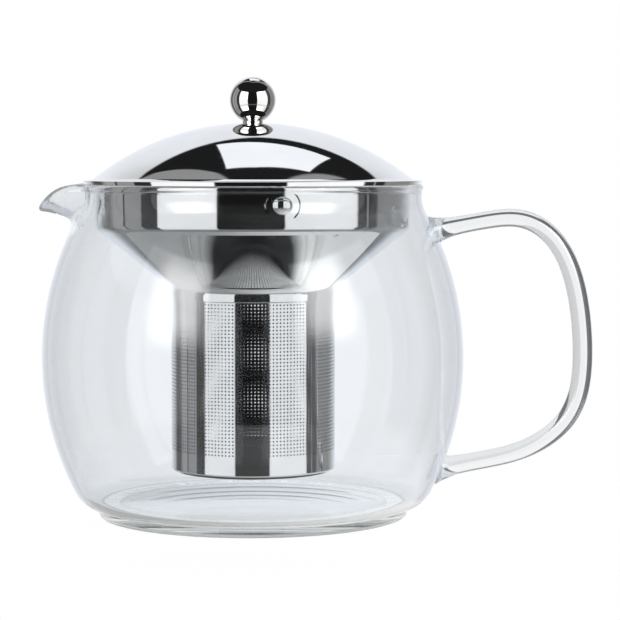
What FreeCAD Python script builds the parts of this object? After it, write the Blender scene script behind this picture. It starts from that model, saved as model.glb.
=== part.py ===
import FreeCAD, Part
import math
import os

from FreeCAD import Vector

# Glass teapot with a lift-out steel infuser and a loose steel lid.
# Millimetres. The origin is the centre of the foot, on the table. +Z is up, the handle
# is on +X and the pouring lip on -X.

# Blown glass pot
glass_wall = 2.0
belly_radius = 70.2
belly_height = 53.0
rim_height = 110.7
neck_radius = 56.2
neck_length = 4.1
shoulder_round = 12.0
bottom_corner = 11.0
bottom_corner_setback = 1.6
underside_height = 3.0
foot_radius = 51.5
foot_round = 1.4
foot_land = 5.0
punt_height = 1.5
rim_bead_height = 2.7
rim_bead_bulge = 0.5
rim_inner_round = 0.8

# Pouring lip, pulled out of the rim: each reach is measured from the neck, each depth from the rim
lip_root_radius = 19.0
lip_root_depth = 24.0
lip_waist_reach = 4.3
lip_waist_radius = 12.0
lip_waist_depth = 13.0
lip_beak_reach = 10.3
lip_beak_radius = 7.6
lip_beak_depth = 9.4
lip_tip_reach = 15.1
lip_tip_radius = 4.2
lip_tip_depth = 8.6
lip_droop = 7.5

# Glass rod handle, melted on at both ends: each reach is measured from the belly
rod_radius = 3.1
handle_top_drop = 15.2
handle_top_climb = 6.1
handle_top_reach = 25.9
handle_top_round = 19.0
handle_side_height = 58.2
handle_side_reach = 47.8
handle_foot_height = 16.0
handle_foot_climb = 7.1
handle_foot_reach = 28.2
handle_foot_round = 19.0
weld_radius = 4.5
weld_length = 4.0
weld_tail = 8.0

# Infuser funnel, pressed from one sheet
funnel_gauge = 0.6
flange_setback = 0.2
flange_bend = 0.8
collar_clearance = 1.9
collar_depth = 14.8
collar_shoulder = 2.8
cone_depth = 19.4
neck_blend = 3.5
funnel_neck_length = 3.6

# Spring lugs pressed out of the collar
lug_count = 3
lug_first_angle = -78.5
lug_drop = 6.2
lug_radius = 3.0
lug_bulge = 1.2
lug_slit_radius = 5.2
lug_slit_width = 0.5
lug_neck_width = 7.2

# Perforated sleeve of the infuser
sleeve_radius = 27.3
sleeve_gauge = 0.5
sleeve_overlap = 2.9
sleeve_floor_gap = 11.7
perforation_columns = 24
perforation_rows = 8
perforation_diameter = 2.0
perforation_foot_margin = 6.8
perforation_top_margin = 3.4

# Pressed base of the infuser
base_gauge = 0.5
base_edge_round = 1.3
base_cup_height = 3.5

# Domed lid
lid_gauge = 0.6
dome_rise = 19.1
brim_overhang = 0.3
brim_flat = 1.4
brim_blend = 4.0
skirt_clearance = 0.5
skirt_gauge = 0.6
skirt_depth = 8.0
skirt_lead_in = 0.9

# Ball knob and its fixing
ball_radius = 7.7
knob_neck_radius = 3.4
knob_neck_height = 0.6
screw_radius = 2.0
screw_thread_depth = 8.0
screw_head_radius = 3.7
screw_head_height = 2.3
screw_head_round = 1.0
screw_socket_radius = 1.5
screw_socket_sides = 6
screw_socket_depth = 1.4
washer_radius = 5.5
washer_gauge = 0.9
fixing_clearance = 0.2

pot_axis = Vector(0, 0, 1)
seam_angle = 90
shortest_run = 0.001

# Heights and radii where the pieces meet, worked out from the sizes above
floor_height = underside_height + glass_wall
neck_start = rim_height - neck_length
handle_top_height = rim_height - handle_top_drop
flange_radius = neck_radius - flange_setback
collar_radius = neck_radius - glass_wall - collar_clearance
cone_top_height = rim_height - collar_depth
cone_foot_height = cone_top_height - cone_depth
funnel_neck_end = cone_foot_height - funnel_neck_length
sleeve_top_height = funnel_neck_end + sleeve_overlap
sleeve_foot_height = floor_height + sleeve_floor_gap
lid_seat = rim_height + funnel_gauge
brim_radius = flange_radius + brim_overhang
lid_apex_height = lid_seat + lid_gauge + dome_rise


def point(radius, height):
    return Vector(radius, 0, height)


def line(start, end):
    return Part.LineSegment(start, end).toShape()


def arc_about(centre, start, end):
    """The short arc from start to end of the circle about centre."""
    middle = (start - centre) + (end - centre)
    middle.normalize()
    return Part.Arc(start, centre + middle * (start - centre).Length, end).toShape()


def towards(start, end, distance):
    """The point at a distance from start, on the way to end."""
    way = end - start
    way.normalize()
    return start + way * distance


def half_corner(before, corner, after):
    return (before - corner).getAngle(after - corner) / 2


def bent_line(corners, rounds):
    """Straight runs joined by tangent arcs, with one radius for each inner corner."""
    edges = []
    start = corners[0]
    for before, corner, after, radius in zip(corners, corners[1:], corners[2:], rounds):
        half_angle = half_corner(before, corner, after)
        first = towards(corner, before, radius / math.tan(half_angle))
        last = towards(corner, after, radius / math.tan(half_angle))
        centre = towards(corner, (first + last) * 0.5, radius / math.sin(half_angle))
        if not start.isEqual(first, shortest_run):
            edges.append(line(start, first))
        edges.append(arc_about(centre, first, last))
        start = last
    edges.append(line(start, corners[-1]))
    return edges


def left_of(start, end):
    """Unit step to the left of the way from start to end, in the section's plane."""
    side = Vector(start.z - end.z, 0, end.x - start.x)
    side.normalize()
    return side


def turned(edges):
    """The solid that a closed section makes when it turns about the pot's axis, from the back."""
    section = Part.Face(Part.Wire(Part.__sortEdges__(edges)))
    section.rotate(Vector(0, 0, 0), pot_axis, seam_angle)
    return section.revolve(Vector(0, 0, 0), pot_axis, 360)


def pressed_sheet(corners, rounds, gauge):
    """A turned sheet: the corners lie on one face and the metal to the left of them."""
    sides = [left_of(start, end) for start, end in zip(corners, corners[1:])]
    inner = [corners[0] + sides[0] * gauge]
    inner_rounds = []
    for side, next_side, corner, radius in zip(sides, sides[1:], corners[1:], rounds):
        inner.append(corner + (side + next_side) * (gauge / (1 + side.dot(next_side))))
        turns_left = side.cross(next_side).y < 0
        inner_rounds.append(radius - gauge if turns_left else radius + gauge)
    inner.append(corners[-1] + sides[-1] * gauge)
    ends = [line(corners[0], inner[0]), line(corners[-1], inner[-1])]
    return turned(bent_line(corners, rounds) + bent_line(inner, inner_rounds) + ends)


def corner_centre():
    return point(foot_radius - bottom_corner_setback, underside_height + bottom_corner)


def lower_curve():
    """Radius of the wall below the belly, which runs into the bottom corner."""
    drop = belly_height - corner_centre().z
    swell = belly_radius - corner_centre().x
    return (drop ** 2 + swell ** 2 - bottom_corner ** 2) / (2 * (swell - bottom_corner))


def upper_curve():
    """Radius of the wall above the belly, which runs into the hollow of the shoulder."""
    rise = neck_start - belly_height
    swell = belly_radius - neck_radius
    return (rise ** 2 + swell ** 2) / (2 * swell) - shoulder_round


def globe_radius_at(height):
    curve = upper_curve() if height > belly_height else lower_curve()
    return belly_radius - curve + math.sqrt(curve ** 2 - (height - belly_height) ** 2)


def globe(inset, floor_edges, mouth_edges):
    """The pot's globe, set in from the outer face: bottom corner, belly, shoulder and neck."""
    lower_centre = point(belly_radius - lower_curve(), belly_height)
    upper_centre = point(belly_radius - upper_curve(), belly_height)
    shoulder_centre = point(neck_radius + shoulder_round, neck_start)
    low = towards(lower_centre, corner_centre(), lower_curve() - inset)
    belly = point(belly_radius - inset, belly_height)
    high = towards(upper_centre, shoulder_centre, upper_curve() - inset)
    neck = shoulder_centre - Vector(shoulder_round + inset, 0, 0)
    floor = floor_edges(bottom_corner - inset)
    mouth = mouth_edges(neck)
    wall = [
        arc_about(corner_centre(), floor[-1].Vertexes[-1].Point, low),
        arc_about(lower_centre, low, belly),
        arc_about(upper_centre, belly, high),
        arc_about(shoulder_centre, high, neck),
    ]
    top = mouth[-1].Vertexes[-1].Point
    closing = line(top, floor[0].Vertexes[0].Point)
    return turned(floor + wall + mouth + [closing])


def outer_foot(corner_round):
    """Flat standing ring with a rounded edge, up to the underside of the globe."""
    drop = math.sqrt(corner_round ** 2 - bottom_corner_setback ** 2)
    foot_top = point(foot_radius, corner_centre().z - drop)
    edge_centre = point(foot_radius - foot_round, foot_round)
    ring_edge = point(edge_centre.x, 0)
    ring_side = point(foot_radius, foot_round)
    return [
        line(point(0, 0), ring_edge),
        arc_about(edge_centre, ring_edge, ring_side),
        line(ring_side, foot_top),
    ]


def inner_floor(corner_round):
    floor_edge = corner_centre() - Vector(0, 0, corner_round)
    return [line(point(0, floor_edge.z), floor_edge)]


def outer_mouth(neck):
    """Fire-polished bead round the rim, with a flat land on top."""
    bead_start = point(neck.x, rim_height - rim_bead_height)
    bead_swell = point(neck.x + rim_bead_bulge, rim_height - rim_bead_height / 2)
    land_edge = point(neck.x, rim_height)
    return [
        line(neck, bead_start),
        Part.Arc(bead_start, bead_swell, land_edge).toShape(),
        line(land_edge, point(0, rim_height)),
    ]


def inner_mouth(neck):
    round_start = point(neck.x, rim_height - rim_inner_round)
    land_start = point(neck.x + rim_inner_round, rim_height)
    round_centre = point(land_start.x, round_start.z)
    return [
        line(neck, round_start),
        arc_about(round_centre, round_start, land_start),
        line(land_start, point(0, rim_height)),
    ]


def lip_section(reach, radius, depth, inset):
    """A trough across the pour: round below, with straight sides up to the rim."""
    middle = rim_height - depth + radius
    half = radius - inset
    ceiling = rim_height + inset
    left = Vector(-reach, -half, middle)
    right = Vector(-reach, half, middle)
    keel = Vector(-reach, 0, middle - half)
    left_top = Vector(-reach, -half, ceiling)
    right_top = Vector(-reach, half, ceiling)
    edges = [
        line(left_top, left),
        Part.Arc(left, keel, right).toShape(),
        line(right, right_top),
        line(right_top, left_top),
    ]
    return Part.Wire(edges)


def lip_trough(inset, overrun):
    """The lip's trough to its tip, from where its sides leave the inside of the neck."""
    root_reach = math.sqrt((neck_radius - glass_wall) ** 2 - lip_root_radius ** 2)
    tip_reach = neck_radius + lip_tip_reach + overrun
    sections = [
        lip_section(root_reach, lip_root_radius, lip_root_depth, inset),
        lip_section(neck_radius + lip_waist_reach, lip_waist_radius, lip_waist_depth, inset),
        lip_section(neck_radius + lip_beak_reach, lip_beak_radius, lip_beak_depth, inset),
        lip_section(tip_reach, lip_tip_radius, lip_tip_depth, inset),
    ]
    return Part.makeLoft(sections, True, False)


def above_lip_edge():
    """All that stands over the lip's edge, which droops in one arc from the rim to the tip."""
    curve = (lip_tip_reach ** 2 + lip_droop ** 2) / (2 * lip_droop)
    centre = point(-neck_radius, rim_height - curve)
    start = point(-neck_radius, rim_height)
    tip = start - Vector(lip_tip_reach, 0, lip_droop)
    outside = tip - Vector(lip_root_radius, 0, 0)
    ceiling = rim_height + 2 * lip_root_radius
    edges = [
        arc_about(centre, start, tip),
        line(tip, outside),
        line(outside, point(outside.x, ceiling)),
        line(point(outside.x, ceiling), point(start.x, ceiling)),
        line(point(start.x, ceiling), start),
    ]
    slab = Part.Face(Part.Wire(edges))
    slab.translate(Vector(0, -neck_radius, 0))
    return slab.extrude(Vector(0, 2 * neck_radius, 0))


def foot_hollow():
    """Shallow dome under the pot, inside its standing ring."""
    edge = point(foot_radius - foot_round - foot_land, 0)
    crown = point(0, punt_height)
    curve = (edge.x ** 2 + punt_height ** 2) / (2 * punt_height)
    centre = point(0, punt_height - curve)
    return turned([arc_about(centre, edge, crown), line(crown, point(0, 0)), line(point(0, 0), edge)])


def melted_end(wall_end, away):
    """Trumpet where the rod is melted on: it narrows from the weld to the rod."""
    flare = weld_radius - rod_radius
    curve = (weld_length ** 2 + flare ** 2) / (2 * flare)
    edges = [
        line(point(0, -weld_tail), point(weld_radius, -weld_tail)),
        line(point(weld_radius, -weld_tail), point(weld_radius, 0)),
        arc_about(
            point(rod_radius + curve, weld_length),
            point(weld_radius, 0),
            point(rod_radius, weld_length),
        ),
        line(point(rod_radius, weld_length), point(0, weld_length)),
        line(point(0, weld_length), point(0, -weld_tail)),
    ]
    trumpet = turned(edges)
    turn = FreeCAD.Rotation(pot_axis, away - wall_end)
    trumpet.Placement = FreeCAD.Placement(wall_end, turn)
    return trumpet


def rod_handle(globe_solid):
    """One rod: two straight arms, a bend at the end of each, and one long bow between the bends."""
    top_wall = point(globe_radius_at(handle_top_height), handle_top_height)
    foot_wall = point(globe_radius_at(handle_foot_height), handle_foot_height)
    top_corner = point(belly_radius + handle_top_reach, handle_top_height + handle_top_climb)
    side_corner = point(belly_radius + handle_side_reach, handle_side_height)
    foot_corner = point(belly_radius + handle_foot_reach, handle_foot_height + handle_foot_climb)
    top_half = half_corner(top_wall, top_corner, side_corner)
    foot_half = half_corner(foot_wall, foot_corner, side_corner)
    above = (side_corner - top_corner).Length - handle_top_round / math.tan(top_half)
    below = (side_corner - foot_corner).Length - handle_foot_round / math.tan(foot_half)
    bow_round = min(above, below) * math.tan(half_corner(top_corner, side_corner, foot_corner))
    corners = [
        towards(top_wall, top_corner, -weld_length),
        top_corner,
        side_corner,
        foot_corner,
        towards(foot_wall, foot_corner, -weld_length),
    ]
    path = Part.Wire(bent_line(corners, [handle_top_round, bow_round, handle_foot_round]))
    section = Part.Wire(Part.makeCircle(rod_radius, corners[0], corners[1] - corners[0]))
    rod = path.makePipeShell([section], True, False)
    welds = [melted_end(top_wall, top_corner), melted_end(foot_wall, foot_corner)]
    return rod.multiFuse(welds).removeSplitter().cut(globe_solid)


def spring_lug(funnel, angle):
    """A round button pushed out of the collar, on a tongue between two curved slits."""
    lug_height = rim_height - lug_drop
    cap_curve = (lug_radius ** 2 + lug_bulge ** 2) / (2 * lug_bulge)
    cap_centre = Vector(collar_radius + lug_bulge - cap_curve, 0, lug_height)
    collar_core = Part.makeCylinder(collar_radius - funnel_gauge, rim_height)
    cap = Part.makeSphere(cap_curve, cap_centre).cut(collar_core)
    hollow = Part.makeSphere(cap_curve - funnel_gauge, cap_centre)
    slit_start = Vector(collar_radius - lug_radius, 0, lug_height)
    slit_length = 2 * lug_radius
    outward = Vector(1, 0, 0)
    ring = Part.makeCylinder(lug_slit_radius + lug_slit_width, slit_length, slit_start, outward)
    ring = ring.cut(Part.makeCylinder(lug_slit_radius, slit_length, slit_start, outward))
    tongue = Part.makeBox(
        slit_length,
        lug_neck_width,
        4 * lug_slit_radius,
        slit_start - Vector(0, lug_neck_width / 2, 2 * lug_slit_radius),
    )
    slits = ring.cut(tongue)
    for tool in (cap, hollow, slits):
        tool.rotate(Vector(0, 0, 0), pot_axis, angle)
    return funnel.fuse(cap).cut(hollow).cut(slits)


def infuser_funnel():
    """Flange, collar, cone and neck in one pressing, with its spring lugs."""
    neck = sleeve_radius + funnel_gauge
    corners = [
        point(neck, funnel_neck_end),
        point(neck, cone_foot_height),
        point(collar_radius, cone_top_height),
        point(collar_radius, rim_height),
        point(flange_radius, rim_height),
    ]
    funnel = pressed_sheet(corners, [neck_blend, collar_shoulder, flange_bend], funnel_gauge)
    for count in range(lug_count):
        funnel = spring_lug(funnel, lug_first_angle + count * 360 / lug_count)
    return funnel


def infuser_sleeve():
    """Rolled sheet, perforated in rows between two plain bands."""
    length = sleeve_top_height - sleeve_foot_height
    foot = Vector(0, 0, sleeve_foot_height)
    sleeve = Part.makeCylinder(sleeve_radius, length, foot)
    sleeve = sleeve.cut(Part.makeCylinder(sleeve_radius - sleeve_gauge, length, foot))
    low_row = sleeve_foot_height + perforation_foot_margin
    high_row = funnel_neck_end - perforation_top_margin
    row_pitch = (high_row - low_row) / (perforation_rows - 1)
    holes = []
    for column in range(perforation_columns):
        angle = math.radians((column + 0.5) * 360 / perforation_columns)
        outward = Vector(math.cos(angle), math.sin(angle), 0)
        start = outward * (sleeve_radius - 2 * sleeve_gauge)
        for row in range(perforation_rows):
            middle = start + Vector(0, 0, low_row + row * row_pitch)
            holes.append(Part.makeCylinder(perforation_diameter / 2, 3 * sleeve_gauge, middle, outward))
    return sleeve.cut(Part.makeCompound(holes))


def infuser_base():
    """Shallow cup: its wall stands inside the sleeve and its rounded edge closes the sleeve's end."""
    cup_radius = sleeve_radius - sleeve_gauge
    underside = sleeve_foot_height - base_edge_round
    edge_centre = point(sleeve_radius - base_edge_round, sleeve_foot_height)
    floor_edge = point(edge_centre.x, underside)
    shelf = point(sleeve_radius, sleeve_foot_height)
    cup_top = sleeve_foot_height + base_cup_height
    cup_inner = cup_radius - base_gauge
    floor_top = underside + base_gauge
    edges = [
        line(point(0, underside), floor_edge),
        arc_about(edge_centre, floor_edge, shelf),
        line(shelf, point(cup_radius, sleeve_foot_height)),
        line(point(cup_radius, sleeve_foot_height), point(cup_radius, cup_top)),
        line(point(cup_radius, cup_top), point(cup_inner, cup_top)),
        line(point(cup_inner, cup_top), point(cup_inner, floor_top)),
        line(point(cup_inner, floor_top), point(0, floor_top)),
        line(point(0, floor_top), point(0, underside)),
    ]
    return turned(edges)


def dome_curve():
    """Radius of the dome, which runs down into the hollow blend beside the brim."""
    spread = brim_radius - brim_flat
    climb = dome_rise - brim_blend
    return (spread ** 2 + climb ** 2 - brim_blend ** 2) / (2 * dome_rise)


def dome_centre():
    return point(0, lid_apex_height - dome_curve())


def dome_face(inset):
    """The lid's section line on one face: dome, blend and brim."""
    centre = dome_centre()
    brim_top = lid_seat + lid_gauge
    blend_centre = point(brim_radius - brim_flat, brim_top + brim_blend)
    apex = point(0, lid_apex_height - inset)
    meeting = towards(centre, blend_centre, dome_curve() - inset)
    flat = point(blend_centre.x, brim_top - inset)
    brim_edge = point(brim_radius, brim_top - inset)
    return [
        arc_about(centre, apex, meeting),
        arc_about(blend_centre, meeting, flat),
        line(flat, brim_edge),
    ]


def lid_dome():
    """Spun dome with a narrow flat brim, drilled for the knob's screw."""
    upper = dome_face(0)
    lower = dome_face(lid_gauge)
    rim = line(upper[-1].Vertexes[-1].Point, lower[-1].Vertexes[-1].Point)
    axis = line(upper[0].Vertexes[0].Point, lower[0].Vertexes[0].Point)
    drill = Part.makeCylinder(screw_radius + fixing_clearance, 2 * lid_apex_height)
    return turned(upper + lower + [rim, axis]).cut(drill)


def lid_skirt():
    """Locating ring under the lid: it stands inside the collar, with its lower edge turned in."""
    outside = collar_radius - funnel_gauge - skirt_clearance
    corners = [
        point(outside - skirt_lead_in, lid_seat - skirt_depth),
        point(outside, lid_seat - skirt_depth + 2 * skirt_lead_in),
        point(outside, lid_apex_height),
    ]
    ring = pressed_sheet(corners, [2 * skirt_lead_in], skirt_gauge)
    under_dome = Part.makeSphere(dome_curve() - lid_gauge, dome_centre())
    return ring.common(under_dome)


def lid_knob():
    """Turned ball on a short neck, seated on the dome and tapped from below."""
    neck_top = lid_apex_height + knob_neck_height
    ball_drop = math.sqrt(ball_radius ** 2 - knob_neck_radius ** 2)
    ball_centre = point(0, neck_top + ball_drop)
    neck = point(knob_neck_radius, neck_top)
    seat = point(knob_neck_radius, lid_apex_height - lid_gauge)
    top = point(0, ball_centre.z + ball_radius)
    side = ball_centre + Vector(ball_radius, 0, 0)
    edges = [
        arc_about(ball_centre, top, side),
        arc_about(ball_centre, side, neck),
        line(neck, seat),
        line(seat, point(0, seat.z)),
        line(point(0, seat.z), top),
    ]
    tapping = Part.makeCylinder(screw_radius, lid_apex_height + screw_thread_depth)
    dome = Part.makeSphere(dome_curve(), dome_centre())
    return turned(edges).cut(dome).cut(tapping)


def washer_underside():
    return lid_apex_height - lid_gauge - washer_gauge


def knob_washer():
    """Dished washer: its upper face lies against the inside of the dome."""
    blank = Part.makeCylinder(washer_radius, 2 * washer_gauge, point(0, washer_underside()))
    drill = Part.makeCylinder(screw_radius + fixing_clearance, 2 * lid_apex_height)
    under_dome = Part.makeSphere(dome_curve() - lid_gauge, dome_centre())
    return blank.common(under_dome).cut(drill)


def knob_screw():
    """Pan-head screw up through the washer and the dome into the knob."""
    head_top = washer_underside()
    head_foot = head_top - screw_head_height
    shank_top = lid_apex_height + screw_thread_depth
    round_centre = point(screw_head_radius - screw_head_round, head_foot + screw_head_round)
    foot_edge = point(round_centre.x, head_foot)
    side_start = point(screw_head_radius, round_centre.z)
    edges = [
        line(point(0, head_foot), foot_edge),
        arc_about(round_centre, foot_edge, side_start),
        line(side_start, point(screw_head_radius, head_top)),
        line(point(screw_head_radius, head_top), point(screw_radius, head_top)),
        line(point(screw_radius, head_top), point(screw_radius, shank_top)),
        line(point(screw_radius, shank_top), point(0, shank_top)),
        line(point(0, shank_top), point(0, head_foot)),
    ]
    corners = []
    for count in range(screw_socket_sides):
        angle = math.radians(360 * count / screw_socket_sides)
        step = Vector(math.cos(angle), math.sin(angle), 0) * screw_socket_radius
        corners.append(point(0, head_foot) + step)
    outline = Part.makePolygon(corners + corners[:1])
    socket = Part.Face(outline).extrude(Vector(0, 0, screw_socket_depth))
    return turned(edges).cut(socket)


outer_globe = globe(0, outer_foot, outer_mouth)
inner_globe = globe(glass_wall, inner_floor, inner_mouth)
lip_outside = lip_trough(0, 0)
lip_inside = lip_trough(glass_wall, glass_wall)
blown_pot = outer_globe.fuse(lip_outside).cut(inner_globe).cut(lip_inside)

pieces = {
    "glass_pot": blown_pot.cut(above_lip_edge()).cut(foot_hollow()),
    "glass_handle": rod_handle(outer_globe),
    "infuser_funnel": infuser_funnel(),
    "infuser_sleeve": infuser_sleeve(),
    "infuser_base": infuser_base(),
    "lid_dome": lid_dome(),
    "lid_skirt": lid_skirt(),
    "lid_knob": lid_knob(),
    "knob_washer": knob_washer(),
    "knob_screw": knob_screw(),
}

os.makedirs("parts", exist_ok=True)
for name, shape in pieces.items():
    print(name, shape.ShapeType, len(shape.Solids), shape.isValid(), round(shape.Volume, 2))
    shape.exportStep("parts/" + name + ".step")
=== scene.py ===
import math

import bpy
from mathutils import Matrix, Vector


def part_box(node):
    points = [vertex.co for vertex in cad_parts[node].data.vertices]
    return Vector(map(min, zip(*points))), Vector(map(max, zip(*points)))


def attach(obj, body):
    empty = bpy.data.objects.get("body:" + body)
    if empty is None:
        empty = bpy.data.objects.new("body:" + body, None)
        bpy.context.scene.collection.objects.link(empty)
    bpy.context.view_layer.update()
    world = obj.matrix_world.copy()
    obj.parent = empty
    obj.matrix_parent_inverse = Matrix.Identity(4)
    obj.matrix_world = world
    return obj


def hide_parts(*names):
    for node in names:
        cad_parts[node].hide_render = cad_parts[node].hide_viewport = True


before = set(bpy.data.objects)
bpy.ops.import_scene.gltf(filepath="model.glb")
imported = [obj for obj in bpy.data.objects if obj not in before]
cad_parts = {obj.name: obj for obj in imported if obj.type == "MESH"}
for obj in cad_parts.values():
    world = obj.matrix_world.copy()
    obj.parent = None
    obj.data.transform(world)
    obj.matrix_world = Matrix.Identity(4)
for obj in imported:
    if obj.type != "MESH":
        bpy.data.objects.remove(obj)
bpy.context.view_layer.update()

# The pot: a globe blown thin in clear borosilicate glass, on a pressed foot whose ring is thicker and
# a little greener, and is also painted darker, a painted shade for the dark edges of the foot. Its rim
# is fire-polished to a bead, and one side is pulled out into a pouring lip.
# Where a ray stays trapped for many reflections in the thick edges of the glass, the glass is given a
# painted grey glow, an emission that keeps these edges from going black.
pot_low, pot_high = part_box("glass_pot")
glass_wall = 0.0020
belly_radius = pot_high.y
belly_height = 0.0530
rim_height = pot_high.z
neck_radius = 0.0562
neck_length = 0.0041
neck_start = rim_height - neck_length
shoulder_round = 0.0120
foot_radius = 0.0515
foot_round = 0.0014
foot_land = 0.0050
punt_height = 0.0015
globe_bottom = 0.0030
corner_round = 0.0110
corner_setback = 0.0016
corner_radius = foot_radius - corner_setback
corner_height = globe_bottom + corner_round
bead_bulge = 0.0005
bead_height = 0.0027
bead_steps = 8
rim_round = (glass_wall + bead_bulge) / 2
bead_radius = neck_radius - glass_wall + rim_round
lip_edge = 0.0004
lip_reach = -pot_low.x - bead_radius - lip_edge
lip_half_angle = math.radians(20.5)
lip_length = 0.0167
lip_root = rim_height - lip_length
lip_droop = 0.0088
lip_lift = 0.0030
reach_curve = 1.8
droop_curve = 1.4
droop_narrowing = 2.8
lift_narrowing = 1.5
finest_run = 0.0010
finest_turn = 4.0
seen_turn = 1.5
crease_turn = 38.0
same_spot = finest_run / 100


def arc(centre, radius, first, last):
    """Points on an arc of a section, from one angle to another, in degrees from straight out."""
    sweep = abs(last - first)
    steps = math.ceil(max(sweep / finest_turn, math.radians(sweep) * radius / finest_run))
    turns = [math.radians(first + (last - first) * step / steps) for step in range(steps + 1)]
    return [(centre[0] + radius * math.cos(turn), centre[1] + radius * math.sin(turn)) for turn in turns]


def tangent_angle(centre, other):
    return math.degrees(math.atan2(other[1] - centre[1], other[0] - centre[0]))


def globe_wall(inset, first_angle):
    """Section of the globe, set in from its outer face: bottom corner, belly, shoulder and neck."""
    drop = belly_height - corner_height
    swell = belly_radius - corner_radius
    lower = (drop ** 2 + swell ** 2 - corner_round ** 2) / (2 * (swell - corner_round))
    rise = neck_start - belly_height
    narrowing = belly_radius - neck_radius
    upper = (rise ** 2 + narrowing ** 2) / (2 * narrowing) - shoulder_round
    corner = (corner_radius, corner_height)
    lower_centre = (belly_radius - lower, belly_height)
    upper_centre = (belly_radius - upper, belly_height)
    shoulder = (neck_radius + shoulder_round, neck_start)
    low = tangent_angle(lower_centre, corner)
    high = tangent_angle(upper_centre, shoulder)
    return (
        arc(corner, corner_round - inset, first_angle, low)
        + arc(lower_centre, lower - inset, low, 0)[1:]
        + arc(upper_centre, upper - inset, 0, high)[1:]
        + arc(shoulder, shoulder_round + inset, high + 180, 180)[1:]
    )


def bead_swell(z):
    """How far the rim's bead stands out from the neck at a height."""
    share = min(1, max(0, (z - rim_height + bead_height) / (bead_height - rim_round)))
    return bead_bulge * (1 - math.cos(math.pi * share)) / 2


def pot_outline():
    """The whole section of the pot, from the middle of its underside to the middle of its floor."""
    land = foot_radius - foot_round - foot_land
    punt_curve = (land ** 2 + punt_height ** 2) / (2 * punt_height)
    punt_centre = (0, punt_height - punt_curve)
    underside = arc(punt_centre, punt_curve, 90, tangent_angle(punt_centre, (land, 0)))
    foot_edge = arc((foot_radius - foot_round, foot_round), foot_round, -90, 0)
    globe_start = -math.degrees(math.acos(corner_setback / corner_round))
    bead = []
    for step in range(bead_steps):
        height = rim_height - bead_height + (bead_height - rim_round) * step / bead_steps
        bead.append((neck_radius + bead_swell(height), height))
    return (
        underside
        + foot_edge
        + globe_wall(0, globe_start)
        + bead
        + arc((bead_radius, rim_height - rim_round), rim_round, 0, 180)
        + globe_wall(glass_wall, -90)[::-1]
        + [(0, globe_bottom + glass_wall)]
    )


def wall_reach(z):
    """How far from the axis the neck and the shoulder stand at a height, without the bead."""
    below = max(0, neck_start - z)
    return neck_radius + shoulder_round - math.sqrt(max(0, shoulder_round ** 2 - below ** 2))


def pulled(x, y, z):
    """A point of the globe after the lip is pulled: out from the rim and down at the tip, with the
    inner face lifted so that the glass of the lip stays thick."""
    height = max(0, (z - lip_root) / lip_length)
    turn = math.atan2(abs(y), -x)
    if height == 0 or turn > lip_half_angle:
        return (x, y, z)
    bell = (1 + math.cos(math.pi * turn / lip_half_angle)) / 2
    out = lip_reach * bell * height ** reach_curve
    droop = lip_droop * bell ** droop_narrowing * height ** droop_curve
    reach = math.hypot(x, y)
    swell = bead_swell(z)
    depth = min(1, max(0, (wall_reach(z) + swell - reach) / (glass_wall + swell)))
    lift = lip_lift * depth * bell ** lift_narrowing * height
    stretch = 1 + out / reach
    return (x * stretch, y * stretch, z - droop + lift)


def spun(outline, turns):
    """Vertices and faces of a section turned about the pot's axis, a fan where it meets the axis."""
    points = []
    rings = []
    for radius, height in outline:
        if radius < same_spot:
            rings.append([len(points)] * len(turns))
            points.append((0, 0, height))
            continue
        rings.append(range(len(points), len(points) + len(turns)))
        points += [(radius * math.cos(turn), radius * math.sin(turn), height) for turn in turns]
    faces = []
    for ring, following in zip(rings, rings[1:]):
        for column in range(len(turns)):
            corners = [ring[column - 1], ring[column], following[column], following[column - 1]]
            faces.append(list(dict.fromkeys(corners)))
    return points, faces


def new_object(name, points, faces):
    mesh = bpy.data.meshes.new(name)
    mesh.from_pydata(points, [], faces)
    made = bpy.data.objects.new(name, mesh)
    bpy.context.scene.collection.objects.link(made)
    return made


def add_piece(name, points, faces, material, body, node):
    """A smooth mesh that stands for a node of the frame and moves with its body."""
    piece = new_object(name, points, faces)
    piece.data.materials.append(material)
    piece.data.shade_smooth()
    piece.data.set_sharp_from_angle(angle=math.radians(crease_turn))
    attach(piece, body)
    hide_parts(node)


def fill(node, inputs):
    """Sets the inputs of a node to plain values, or links them to the outputs of other nodes."""
    for name, value in inputs.items():
        if isinstance(value, bpy.types.NodeSocket):
            node.id_data.links.new(value, node.inputs[name])
        else:
            node.inputs[name].default_value = value


def node_tools(tree):
    """Four functions that add nodes to a tree: any node, a sum, a fade between limits, a colour ramp."""

    def add(kind, inputs=None, **settings):
        node = tree.nodes.new(kind)
        for setting, value in settings.items():
            setattr(node, setting, value)
        fill(node, inputs or {})
        return node

    def calc(operation, *values):
        return add("ShaderNodeMath", dict(enumerate(values)), operation=operation).outputs["Value"]

    def fade(value, first, last, low=0.0, high=1.0, shape="LINEAR"):
        limits = {"From Min": first, "From Max": last, "To Min": low, "To Max": high}
        node = add("ShaderNodeMapRange", {"Value": value, **limits}, interpolation_type=shape)
        return node.outputs["Result"]

    def colours(value, *stops):
        node = add("ShaderNodeValToRGB", {"Fac": value})
        ramp = node.color_ramp.elements
        for position, colour in stops[1:-1]:
            ramp.new(position).color = (*colour, 1)
        for end, (position, colour) in ((ramp[0], stops[0]), (ramp[len(ramp) - 1], stops[-1])):
            end.position = position
            end.color = (*colour, 1)
        return node.outputs["Color"]

    return add, calc, fade, colours


def new_material(name):
    """A material, its Principled shader and the tools for its nodes."""
    material = bpy.data.materials.new(name)
    material.use_nodes = True
    return material, material.node_tree.nodes["Principled BSDF"], *node_tools(material.node_tree)


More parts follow.
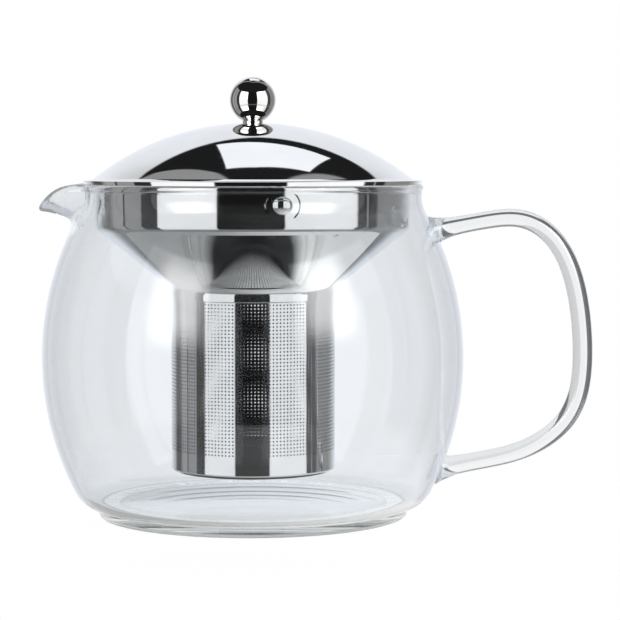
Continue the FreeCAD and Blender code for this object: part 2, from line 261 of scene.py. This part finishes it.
foot_glass_low = 0.0045
foot_glass_high = 0.0085
foot_ring_outside = 0.045
foot_ring_inside = 0.040
# The foot's tint is greener for its thicker glass and also darker, a painted shade.
foot_tint_and_shade = (0.770, 0.795, 0.785)
deep_tint = (0.910, 0.930, 0.949)
clear_tint = (0.932, 0.948, 0.964)
glass_index = 1.473
trapped_after = 6
painted_glow_low_height = 0.010
painted_glow_high_height = 0.060
painted_glow_in_foot = 0.07
painted_glow_in_rim = 0.34
painted_glow_colour = (0.96, 1.0, 0.98, 1)
wave_stretch = (55, 55, 9)
wave_depth = 0.0004
glass, glass_shader, add, calc, fade, colours = new_material("borosilicate glass")
place = add("ShaderNodeTexCoord").outputs["Object"]
melt = add("ShaderNodeTexNoise", {"Vector": place, "Scale": 22.0, "Detail": 2.0}).outputs["Fac"]
height = add("ShaderNodeSeparateXYZ", {"Vector": place}).outputs["Z"]
from_centre = add("ShaderNodeVectorMath", {0: place}, operation="LENGTH").outputs["Value"]
above_foot = fade(height, foot_glass_low, foot_glass_high, shape="SMOOTHSTEP")
on_floor = fade(from_centre, foot_ring_outside, foot_ring_inside, shape="SMOOTHSTEP")
thin = calc("MAXIMUM", above_foot, on_floor)
tint = colours(calc("MULTIPLY", melt, thin), (0.0, foot_tint_and_shade), (0.2, deep_tint), (1.0, clear_tint))
# Painted glow: after many reflections inside the glass, it glows grey, more in the rim than in the foot.
reflections = add("ShaderNodeLightPath").outputs["Glossy Depth"]
trapped_glow_mask = calc("COMPARE", reflections, trapped_after, 0.5)
painted_glow_level = fade(height, painted_glow_low_height, painted_glow_high_height, painted_glow_in_foot, painted_glow_in_rim)
drawn = add("ShaderNodeMapping", {"Vector": place, "Scale": wave_stretch}).outputs["Vector"]
waves = add("ShaderNodeTexNoise", {"Vector": drawn, "Scale": 1.0, "Detail": 1.0}).outputs["Fac"]
ripple = add("ShaderNodeBump", {"Height": waves, "Strength": 0.10, "Distance": wave_depth})
fill(glass_shader, {
    "Base Color": tint,
    "Roughness": 0.0,
    "IOR": glass_index,
    "Transmission Weight": 1.0,
    "Emission Color": painted_glow_colour,
    "Emission Strength": calc("MULTIPLY", trapped_glow_mask, painted_glow_level),
    "Normal": ripple.outputs["Normal"],
})
glass.cycles.emission_sampling = "NONE"

lip_turn = 180.0
lip_zone = 24.0
fine_turn = 0.6
fine_count = round(2 * lip_zone / fine_turn)
rest_zone = 360 - 2 * lip_zone
rest_count = round(rest_zone / seen_turn)
pot_turns = [lip_turn - lip_zone + fine_turn * step for step in range(fine_count)]
pot_turns += [lip_turn + lip_zone + rest_zone * step / rest_count for step in range(rest_count)]
pot_points, pot_faces = spun(pot_outline(), [math.radians(turn) for turn in pot_turns])
pot_points = [pulled(*point) for point in pot_points]
add_piece("blown_pot", pot_points, pot_faces, glass, "pot", "glass_pot")

# The handle: one solid rod of the same glass, bent hot in two bends and a long bow.
# Both ends are melted onto the globe and spread a little where they meet it. Drawn rod is a touch
# less smooth than blown glass, and by that the studio tells the two apart.
handle_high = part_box("glass_handle")[1]
rod_radius = 0.0031
rod_steps = 14
rod_sides = 10
rod_roughness = 0.02
weld_spread = 1.75
bow_slack = 0.0005
rod_outside = handle_high.x - rod_radius + bow_slack
top_weld = (0.0590, 0.0948)
foot_weld = (0.0600, 0.0153)
# Each guide point of the rod: its reach from the axis, its height and its share of the rod's radius.
rod_line = [
    (*top_weld, weld_spread),
    (0.0622, 0.0956, 1.25),
    (0.0660, 0.0965, 0.93),
    (0.0780, 0.0988, 0.94),
    (0.0900, 0.1004, 0.97),
    (rod_outside - 0.0098, 0.0937, 1.01),
    (rod_outside - 0.0028, 0.0795, 1.06),
    (rod_outside, 0.0580, 1.08),
    (rod_outside - 0.0010, 0.0385, 1.06),
    (rod_outside - 0.0088, 0.0276, 1.02),
    (0.0900, 0.0210, 0.98),
    (0.0780, 0.0185, 0.97),
    (0.0680, 0.0167, 0.97),
    (0.0640, 0.0160, 1.25),
    (*foot_weld, weld_spread),
]
even_turns = [math.radians(seen_turn * step) for step in range(round(360 / seen_turn))]


def mesh_lists(mesh):
    points = [tuple(vertex.co) for vertex in mesh.vertices]
    faces = [list(face.vertices) for face in mesh.polygons]
    return points, faces


def bent_rod(line):
    """A round rod on one smooth curve, thicker or thinner as each point of the line says."""
    curve = bpy.data.curves.new("rod line", "CURVE")
    curve.dimensions = "3D"
    curve.resolution_u = rod_steps
    curve.bevel_depth = rod_radius
    curve.bevel_resolution = rod_sides
    curve.use_fill_caps = True
    bend = curve.splines.new("NURBS")
    bend.points.add(len(line) - 1)
    for point, (reach, height, thickness) in zip(bend.points, line):
        point.co = (reach, 0, height, 1)
        point.radius = thickness
    bend.order_u = 4
    bend.use_endpoint_u = True
    guide = bpy.data.objects.new("rod line", curve)
    mesh = bpy.data.meshes.new_from_object(guide)
    points, faces = mesh_lists(mesh)
    bpy.data.objects.remove(guide)
    bpy.data.meshes.remove(mesh)
    return points, faces


def melted_on(points, faces):
    """The rod with its ends cut to the outside of the globe."""
    rod = new_object("rod", points, faces)
    closed = rod.modifiers.new("closed", "WELD")
    closed.merge_threshold = same_spot
    globe_outline = [(0, globe_bottom)] + globe_wall(0, -90) + [(0, neck_start)]
    globe_form = new_object("globe form", *spun(globe_outline, even_turns))
    cut = rod.modifiers.new("cut", "BOOLEAN")
    cut.operation = "DIFFERENCE"
    cut.solver = "EXACT"
    cut.object = globe_form
    shaped = bpy.data.meshes.new_from_object(rod.evaluated_get(bpy.context.evaluated_depsgraph_get()))
    points, faces = mesh_lists(shaped)
    for helper in (rod, globe_form):
        bpy.data.objects.remove(helper)
    bpy.data.meshes.remove(shaped)
    return points, faces


rod_points, rod_faces = melted_on(*bent_rod(rod_line))
rod_glass = glass.copy()
rod_glass.name = "glass rod"
rod_glass.node_tree.nodes["Principled BSDF"].inputs["Roughness"].default_value = rod_roughness
add_piece("bent_handle", rod_points, rod_faces, rod_glass, "pot", "glass_handle")

# The infuser's funnel: flange, collar, cone and neck drawn from one sheet of stainless steel and
# polished to a mirror. It hangs by its flange on the rim, with three spring lugs in the collar.
smudge_scale = 60.0
smudge_low = 0.35
smudge_high = 0.65
line_low = 0.3
line_high = 0.7
painted_inside_shade = 0.45
inside_edge = 0.00005
polishing = bpy.data.node_groups.new("polishing lines", "ShaderNodeTree")
polishing.interface.new_socket("Place", in_out="INPUT", socket_type="NodeSocketVector")
polishing.interface.new_socket("Line Scale", in_out="INPUT", socket_type="NodeSocketFloat")
polishing.interface.new_socket("Smudge Scale", in_out="INPUT", socket_type="NodeSocketFloat")
polishing.interface.new_socket("Lines", in_out="OUTPUT", socket_type="NodeSocketFloat")
polishing.interface.new_socket("Smudges", in_out="OUTPUT", socket_type="NodeSocketFloat")
add = node_tools(polishing)[0]
entry = add("NodeGroupInput")
place = entry.outputs["Place"]
apart = add("ShaderNodeSeparateXYZ", {"Vector": place})
flat = add("ShaderNodeCombineXYZ", {"X": apart.outputs["X"], "Y": apart.outputs["Y"]}).outputs["Vector"]
from_axis = add("ShaderNodeVectorMath", {0: flat}, operation="LENGTH").outputs["Value"]
round_about = add("ShaderNodeCombineXYZ", {"X": from_axis, "Z": apart.outputs["Z"]}).outputs["Vector"]
line_inputs = {"Vector": round_about, "Scale": entry.outputs["Line Scale"], "Detail": 3.0}
smudge_inputs = {"Vector": place, "Scale": entry.outputs["Smudge Scale"], "Detail": 4.0}
lines = add("ShaderNodeTexNoise", line_inputs).outputs["Fac"]
smudges = add("ShaderNodeTexNoise", smudge_inputs).outputs["Fac"]
add("NodeGroupOutput", {"Lines": lines, "Smudges": smudges})


def steel(name, dull, bright, line_scale, smoothest, roughest, line_depth, inner_radius=0.0):
    """Stainless steel with turning lines round the axis and faint smudges. A tube's inside is given a
    painted shade: its colour is darker there."""
    material, metal, add, _, fade, colours = new_material(name)
    place = add("ShaderNodeTexCoord").outputs["Object"]
    scales = {"Line Scale": line_scale, "Smudge Scale": smudge_scale}
    finish = add("ShaderNodeGroup", {"Place": place, **scales}, node_tree=polishing)
    lines = finish.outputs["Lines"]
    colour = colours(finish.outputs["Smudges"], (smudge_low, dull), (smudge_high, bright))
    # Painted shade: inside the tube, the colour is darkened.
    if inner_radius:
        flat = add("ShaderNodeVectorMath", {0: place, 1: (1, 1, 0)}, operation="MULTIPLY").outputs["Vector"]
        from_axis = add("ShaderNodeVectorMath", {0: flat}, operation="LENGTH").outputs["Value"]
        inside_shade_share = fade(from_axis, inner_radius, inner_radius + inside_edge, painted_inside_shade)
        shaded = add("ShaderNodeVectorMath", {0: colour, "Scale": inside_shade_share}, operation="SCALE")
        colour = shaded.outputs["Vector"]
    relief = add("ShaderNodeBump", {"Height": lines, "Strength": 1.0, "Distance": line_depth})
    fill(metal, {
        "Metallic": 1.0,
        "Base Color": colour,
        "Roughness": fade(lines, line_low, line_high, smoothest, roughest),
        "Normal": relief.outputs["Normal"],
    })
    return material


def cover(material, *nodes):
    """Gives a material to nodes of the frame that keep their own mesh."""
    for node in nodes:
        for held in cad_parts[node].material_slots:
            held.material = material


mirror_steel = steel(
    "mirror steel", dull=(0.78, 0.78, 0.77), bright=(0.83, 0.83, 0.82),
    line_scale=900.0, smoothest=0.02, roughest=0.05, line_depth=2e-7,
)
cover(mirror_steel, "infuser_funnel")

# The infuser's sleeve: thin steel sheet, etched through with rows of fine holes, rolled into a tube
# and closed by one welded seam. Plain bands are left at its foot and at its top, which swells a little
# where it is pushed over the funnel's neck. Its inside has a painted shade, darker than its outside.
sleeve_low, sleeve_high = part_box("infuser_sleeve")
sleeve_radius = sleeve_high.y
sleeve_gauge = 0.0002
hole_columns = 142
hole_rows = 43
hole_radius = 0.00030
lowest_row = 0.0231
row_pitch = 0.00116
neck_band_bulge = 0.00030
neck_band_rows = 8
hole_sides = 8
side_turn = 360 / hole_sides
hole_corners = [math.radians(side_turn * corner + side_turn / 2) for corner in range(hole_sides)]
column_turn = 2 * math.pi / hole_columns


def sleeve_lines():
    """Each level ring of the sheet, from its foot up: its height and how far it swells there."""
    first_line = lowest_row - row_pitch / 2
    heights = [sleeve_low.z] + [first_line + row_pitch * line for line in range(hole_rows + 1)]
    lines = [(height, 0.0) for height in heights]
    top_line = heights[-1]
    for row in range(1, neck_band_rows + 1):
        share = row / neck_band_rows
        height = top_line + (sleeve_high.z - top_line) * share
        lines.append((height, neck_band_bulge * math.sin(math.pi * share)))
    return lines


def holed_cell(low_left, low_right, high_right, high_left, rim):
    """The faces between the four corners of a cell of the sheet and the rim of its hole."""
    return [
        [low_right, high_right, rim[0], rim[7]],
        [high_right, rim[1], rim[0]],
        [high_right, high_left, rim[2], rim[1]],
        [high_left, rim[3], rim[2]],
        [high_left, low_left, rim[4], rim[3]],
        [low_left, rim[5], rim[4]],
        [low_left, low_right, rim[6], rim[5]],
        [low_right, rim[7], rim[6]],
    ]


def sleeve_mesh():
    """The rolled sheet, both faces and the wall of every hole."""
    points = []
    faces = []

    def add_point(radius, turn, height):
        points.append((radius * math.cos(turn), radius * math.sin(turn), height))
        return len(points) - 1

    def hole_rim(radius, row, column):
        middle = column_turn * (column + 0.5)
        height = lowest_row + row_pitch * row
        rim = []
        for corner in hole_corners:
            across = hole_radius * math.cos(corner) / radius
            rim.append(add_point(radius, middle + across, height + hole_radius * math.sin(corner)))
        return rim

    def sheet_face(radius, outer):
        grid = []
        for height, swell in sleeve_lines():
            turns = [column_turn * column for column in range(hole_columns)]
            grid.append([add_point(radius + swell, turn, height) for turn in turns])
        cells = [(row, column) for row in range(hole_rows) for column in range(hole_columns)]
        rims = {cell: hole_rim(radius, *cell) for cell in cells}
        for line in range(len(grid) - 1):
            for column in range(hole_columns):
                following = (column + 1) % hole_columns
                low = (grid[line][column], grid[line][following])
                high = (grid[line + 1][following], grid[line + 1][column])
                rim = rims.get((line - 1, column))
                made = holed_cell(*low, *high, rim) if rim else [[*low, *high]]
                faces.extend(made if outer else [corners[::-1] for corners in made])
        return grid, rims

    outside, outside_rims = sheet_face(sleeve_radius, True)
    inside, inside_rims = sheet_face(sleeve_radius - sleeve_gauge, False)
    for cell, rim in outside_rims.items():
        back = inside_rims[cell]
        for corner in range(len(rim)):
            faces.append([rim[corner], rim[corner - 1], back[corner - 1], back[corner]])
    for line in (0, -1):
        for column in range(hole_columns):
            following = (column + 1) % hole_columns
            end = [outside[line][column], inside[line][column]]
            end += [inside[line][following], outside[line][following]]
            faces.append(end if line == 0 else end[::-1])
    return points, faces


sheet_finish = {
    "dull": (0.77, 0.77, 0.77), "bright": (0.82, 0.82, 0.82),
    "line_scale": 700.0, "smoothest": 0.04, "roughest": 0.08, "line_depth": 2e-7,
}
sheet_middle = sleeve_radius - sleeve_gauge / 2
sleeve_steel = steel("perforated sheet steel", **sheet_finish, inner_radius=sheet_middle)
sleeve_points, sleeve_faces = sleeve_mesh()
add_piece(
    "perforated_sleeve", sleeve_points, sleeve_faces, sleeve_steel,
    "infuser", "infuser_sleeve",
)

# The infuser's base: a shallow cup pressed from the same steel sheet as the sleeve, with its edge
# turned up. It is pushed inside the foot of the sleeve and spot-welded there.
sheet_steel = steel("rolled sheet steel", **sheet_finish)
cover(sheet_steel, "infuser_base")

# The lid: a dome spun from steel sheet with a narrow flat brim, polished to a mirror, and under it
# the locating ring that drops inside the collar.
cover(mirror_steel, "lid_dome", "lid_skirt")

# The knob: a ball on a short neck, turned from solid steel and polished. A pan-head screw holds it
# from under the dome, on a dished washer. Screw and washer are plain steel, left unpolished.
cover(mirror_steel, "lid_knob")
fixing_steel = steel(
    "plain fixing steel", dull=(0.55, 0.55, 0.54), bright=(0.63, 0.63, 0.62),
    line_scale=2500.0, smoothest=0.22, roughest=0.38, line_depth=2e-6,
)
cover(fixing_steel, "knob_washer", "knob_screw")

# The table: a round sheet of plain white paper that keeps a soft shadow of the pot. For steel and glass
# its glow is painted: greyer than the camera sees it, dark with painted shade close under the pot, and
# lighter with painted light far out and on the right.
# A ray counts its reflections and its passes through glass faces: two to a wall of the pot.
table_radius = 0.15
paper_grey = (0.25, 0.25, 0.25, 1)
paper_roughness = 0.9
shadow_end = 0.23
light_start = 0.28
painted_light_paper = (0.60, 0.60, 0.60)
side_reach = 0.05
left_painted_light = 0.6
right_painted_light = 1.4
slant_low = 0.55
slant_high = 0.70
paper_white = 0.94
painted_glow_far_out = 0.75
painted_glow_under_rim = 0.50
painted_glow_in_edges = 0.45
pot_stand = 0.060
any_pass = 0.5
past_one_wall = 2.5
short_of_two_walls = 3.5
table = new_object("table", *spun([(table_radius, 0), (0, 0)], even_turns))
paper, paper_shader, add, calc, fade, colours = new_material("white paper")
ray = add("ShaderNodeLightPath").outputs
passes = ray["Transmission Depth"]
spot = add("ShaderNodeNewGeometry").outputs["Position"]
from_axis = add("ShaderNodeVectorMath", {0: spot}, operation="LENGTH").outputs["Value"]
to_right = add("ShaderNodeSeparateXYZ", {"Vector": spot}).outputs["X"]
facing = add("ShaderNodeLayerWeight").outputs["Facing"]
shallow = fade(facing, slant_low, slant_high, shape="SMOOTHSTEP")
steep = calc("SUBTRACT", 1, shallow)
reflected = calc("GREATER_THAN", ray["Glossy Depth"], any_pass)
unreflected = calc("SUBTRACT", 1, reflected)
seen_inside = calc("MULTIPLY", calc("GREATER_THAN", passes, past_one_wall), unreflected)
seen_inside = calc("MULTIPLY", ray["Is Transmission Ray"], seen_inside)
seen_white = calc("ADD", ray["Is Camera Ray"], seen_inside)
in_glass = calc("LESS_THAN", passes, short_of_two_walls)
in_glass = calc("MULTIPLY", in_glass, calc("GREATER_THAN", passes, any_pass))
caught = calc("MULTIPLY", in_glass, reflected)
mirrored = calc("MAXIMUM", ray["Is Glossy Ray"], ray["Is Transmission Ray"])
bent_down = calc("MULTIPLY", ray["Is Singular Ray"], ray["Is Transmission Ray"])
bent_down = calc("MULTIPLY", bent_down, unreflected)
# Painted shade and light for steel and glass: black close under the pot, grey further out, painted lighter
# to the right and paler for shallow rays.
share_out = calc("DIVIDE", from_axis, table_radius)
shade = colours(share_out, (shadow_end, (0, 0, 0)), (light_start, painted_light_paper))
shade = calc("MULTIPLY", shade, fade(to_right, -side_reach, side_reach, left_painted_light, right_painted_light))
shade = calc("ADD", calc("MULTIPLY", shade, steep), calc("MULTIPLY", shallow, painted_glow_far_out))
shade = calc("MAXIMUM", shade, calc("MULTIPLY", caught, painted_glow_in_edges))
under_rim = calc("ADD", calc("MULTIPLY", steep, painted_glow_under_rim), calc("MULTIPLY", shallow, paper_white))
# The table glows with painted light: its emission sets how bright each kind of ray finds it.
painted_table_glow = calc("MULTIPLY", mirrored, shade)
painted_table_glow = calc("MAXIMUM", painted_table_glow, calc("MULTIPLY", seen_white, paper_white))
painted_table_glow = calc("MAXIMUM", painted_table_glow, calc("MULTIPLY", bent_down, under_rim))
fill(paper_shader, {
    "Base Color": paper_grey,
    "Roughness": paper_roughness,
    "Specular IOR Level": 0.0,
    "Emission Color": (1, 1, 1, 1),
    "Emission Strength": painted_table_glow,
})
edge_on = calc("MULTIPLY", reflected, shallow)
edge_on = calc("MULTIPLY", edge_on, calc("GREATER_THAN", from_axis, pot_stand))
clear = add("ShaderNodeBsdfTransparent").outputs["BSDF"]
sheet = add("ShaderNodeMixShader", {"Fac": edge_on, 1: paper_shader.outputs["BSDF"], 2: clear})
fill(paper.node_tree.nodes["Material Output"], {"Surface": sheet.outputs["Shader"]})
table.data.materials.append(paper)

# The studio: a white tent round the pot, with a black card before it, a softbox on each side of the
# card, dark gaps beyond them, and a dark ceiling with one white window above the back. Light is
# followed for many bounces, since it is caught in the thick glass of the foot, the rim and the lip.
world = bpy.data.worlds.new("studio")
bpy.context.scene.world = world
world.use_nodes = True
add, calc, fade, colours = node_tools(world.node_tree)
endless = 1000
lowest_rise = 0.05


def within(value, first, last, edge):
    """1 where a value lies between two limits, with a soft edge."""
    risen = fade(value, first - edge / 2, first + edge / 2, shape="SMOOTHSTEP")
    not_fallen = fade(value, last - edge / 2, last + edge / 2, 1.0, 0.0, shape="SMOOTHSTEP")
    return calc("MULTIPLY", risen, not_fallen)


def over(below, value, mask):
    """One brightness laid over another by a mask."""
    kept = calc("MULTIPLY", below, calc("SUBTRACT", 1, mask))
    return calc("ADD", kept, calc("MULTIPLY", value, mask))


def hung(level, *panels):
    """Panels hung one before another. Each gives its brightness, the angle that places it, the first
    and last degree of that angle, and its soft edge."""
    for brightness, angle, first, last, edge in panels:
        level = over(level, brightness, within(angle, first, last, edge))
    return level


# Bearing is 0 towards the camera's side and grows to the right. Climb is 0 at the level.
looking = add("ShaderNodeTexCoord").outputs["Generated"]
axes = add("ShaderNodeSeparateXYZ", {"Vector": looking}).outputs
to_right = axes["X"]
to_back = axes["Y"]
bearing = calc("DEGREES", calc("ARCTAN2", to_right, calc("MULTIPLY", to_back, -1)))
turn = calc("ABSOLUTE", bearing)
climb = calc("DEGREES", calc("ARCSINE", axes["Z"]))
rise = calc("MAXIMUM", axes["Z"], lowest_rise)
across = calc("DIVIDE", to_right, rise)
along = calc("DIVIDE", to_back, rise)
ray = add("ShaderNodeLightPath").outputs
passes = ray["Transmission Depth"]
unreflected = calc("LESS_THAN", ray["Glossy Depth"], any_pass)
straight = calc("MULTIPLY", ray["Is Transmission Ray"], unreflected)
mirrored = calc("SUBTRACT", calc("SUBTRACT", 1, ray["Is Camera Ray"]), straight)

room_level = 0.40
right_wall = (0.27, bearing, 95, endless, 5)
tent = (1.0, turn, 146, endless, 36)
left_tent_gap = (0.10, bearing, -137, -119, 10)
left_wall = (0.34, bearing, -103, -85, 2)
left_seam = (0.01, bearing, -104.3, -102.3, 1)
left_gap = (0.03, bearing, -85, -70, 2)
right_gap = (0.03, bearing, 81, 101, 4)
right_seam = (0.30, bearing, 90.2, 91.8, 1)
left_softbox = (1.20, bearing, -70, -24, 1.5)
right_softbox = (1.20, bearing, 24, 81, 3)
level = hung(room_level, right_wall, tent, left_tent_gap, left_wall, left_seam)
level = hung(level, left_gap, right_gap, right_seam, left_softbox, right_softbox)

bulb_level = 8.0
left_bulb = calc("MULTIPLY", within(bearing, -56, -28, 16), within(climb, 8, 34, 14))
right_bulb = calc("MULTIPLY", within(bearing, 30, 58, 16), within(climb, 10, 38, 14))
bulbs = calc("MULTIPLY", calc("ADD", left_bulb, right_bulb), ray["Is Glossy Ray"])
on_outside = calc("LESS_THAN", passes, any_pass)
level = over(level, bulb_level, calc("MULTIPLY", bulbs, on_outside))
black_card = (0.01, turn, -endless, 24, 1.5)
studio_floor = (0.25, climb, -endless, -24, 12)
level = hung(level, black_card, studio_floor)

# The ceiling is drawn flat, across and along, in heights above the pot. Its edges run askew.
ceiling_level = 0.015
wing_level = 0.33
window_level = 1.20
ceiling_climb = 37
back_limit = 1.23
back_skew = 0.5
wing_far_slope = 1.18
wing_far_skew = 0.05
wing_far_start = 0.12
wing_near_slope = 0.72
wing_near_skew = 0.13
wing_near_start = 0.065
window_left = -0.106
window_left_skew = 0.09
window_right = 0.194
window_right_skew = 0.18
window_far = 0.985
window_far_skew = 0.10
window_near = 0.395
window_near_skew = 0.25
back_edge = calc("SUBTRACT", along, calc("MULTIPLY", calc("MINIMUM", across, 0), back_skew))
ceiling = within(climb, ceiling_climb, endless, 2)
ceiling = calc("MULTIPLY", ceiling, within(back_edge, -endless, back_limit, 0.08))
level = over(level, ceiling_level, ceiling)
spread = calc("ABSOLUTE", across)
wing_far = calc("MULTIPLY", spread, wing_far_slope)
wing_far = calc("SUBTRACT", wing_far, calc("MULTIPLY", across, wing_far_skew))
wing_far = calc("SUBTRACT", calc("ADD", wing_far, wing_far_start), along)
wing_near = calc("MULTIPLY", spread, wing_near_slope)
wing_near = calc("SUBTRACT", wing_near, calc("MULTIPLY", across, wing_near_skew))
wing_near = calc("SUBTRACT", along, calc("ADD", wing_near, wing_near_start))
wings = calc("MULTIPLY", within(wing_far, 0, endless, 0.02), within(wing_near, 0, endless, 0.03))
level = over(level, wing_level, calc("MULTIPLY", ceiling, wings))
left_edge = calc("ADD", across, calc("MULTIPLY", along, window_left_skew))
right_edge = calc("SUBTRACT", across, calc("MULTIPLY", along, window_right_skew))
far_edge = calc("ADD", along, calc("MULTIPLY", across, window_far_skew))
near_edge = calc("SUBTRACT", along, calc("MULTIPLY", calc("MAXIMUM", across, 0), window_near_skew))
left_side = within(left_edge, window_left, endless, 0.008)
right_side = within(right_edge, -endless, window_right, 0.008)
far_side = within(far_edge, -endless, window_far, 0.02)
near_side = within(near_edge, window_near, endless, 0.02)
window = calc("MULTIPLY", calc("MULTIPLY", left_side, right_side), far_side)
window = calc("MULTIPLY", window, near_side)
level = over(level, window_level, calc("MULTIPLY", ceiling, window))

# Light caught in the glass sees plainer surroundings, and so does a view through one wall, where the
# handle has its own. A view straight through both walls sees white, and so does the camera.
caught_bulb_level = 5.0
caught_room_level = 0.66
caught_ceiling = (0.40, climb, 30, endless, 10)
caught_card = (0.03, turn, -endless, 34, 10)
caught = within(passes, any_pass, short_of_two_walls, 0.1)
caught = calc("MULTIPLY", caught, calc("SUBTRACT", 1, unreflected))
caught_level = hung(caught_room_level, caught_ceiling, caught_card)
level = over(level, over(caught_level, caught_bulb_level, bulbs), caught)
handle_left = (0.16, bearing, -168, -60, 3)
handle_right = (0.70, bearing, 60, 166, 3)
handle_below = (0.18, climb, -30, -17, 4)
handle_above = (0.30, climb, 35, endless, 10)
round_handle = hung(1.0, handle_left, handle_right, handle_below, handle_above)
pot_left = (0.70, bearing, -168, -60, 3)
pot_below = (0.45, climb, -48, -24, 6)
pot_above = (0.60, climb, 35, endless, 10)
round_pot = hung(1.0, pot_left, pot_below, pot_above)
round_glass = over(round_handle, round_pot, ray["Is Singular Ray"])
one_wall = calc("LESS_THAN", passes, past_one_wall)
level = over(level, over(1.0, round_glass, one_wall), straight)
level = over(level, 1.0, ray["Is Camera Ray"])
tent_white = (1, 1, 1)
tent_blue = (0.91, 0.94, 1.0)
tent_cast = colours(calc("MULTIPLY", within(*tent[1:]), mirrored), (0.0, tent_white), (1.0, tent_blue))
fill(world.node_tree.nodes["Background"], {"Strength": level, "Color": tent_cast})
bpy.context.scene.cycles.glossy_bounces = 24
bpy.context.scene.cycles.transmission_bounces = 32
bpy.context.scene.cycles.max_bounces = 48

# The camera: a long lens on a stand well back from the pot, a little above it and to the right of its
# axis, looking slightly down. Its focal length is counted in pixels of the picture's width.
camera_place = (0.0190, -0.7830, 0.12128)
camera_tilt = 3.846
focal_pixels = 2350
picture_pixels = 620
camera_data = bpy.data.cameras.new("camera")
camera_data.sensor_width = 36.0
camera_data.lens = camera_data.sensor_width * focal_pixels / picture_pixels
camera = bpy.data.objects.new("camera", camera_data)
camera.location = camera_place
camera.rotation_euler = (math.radians(90 - camera_tilt), 0, 0)
bpy.context.scene.collection.objects.link(camera)
bpy.context.scene.camera = camera
bpy.context.scene.view_settings.view_transform = "Standard"
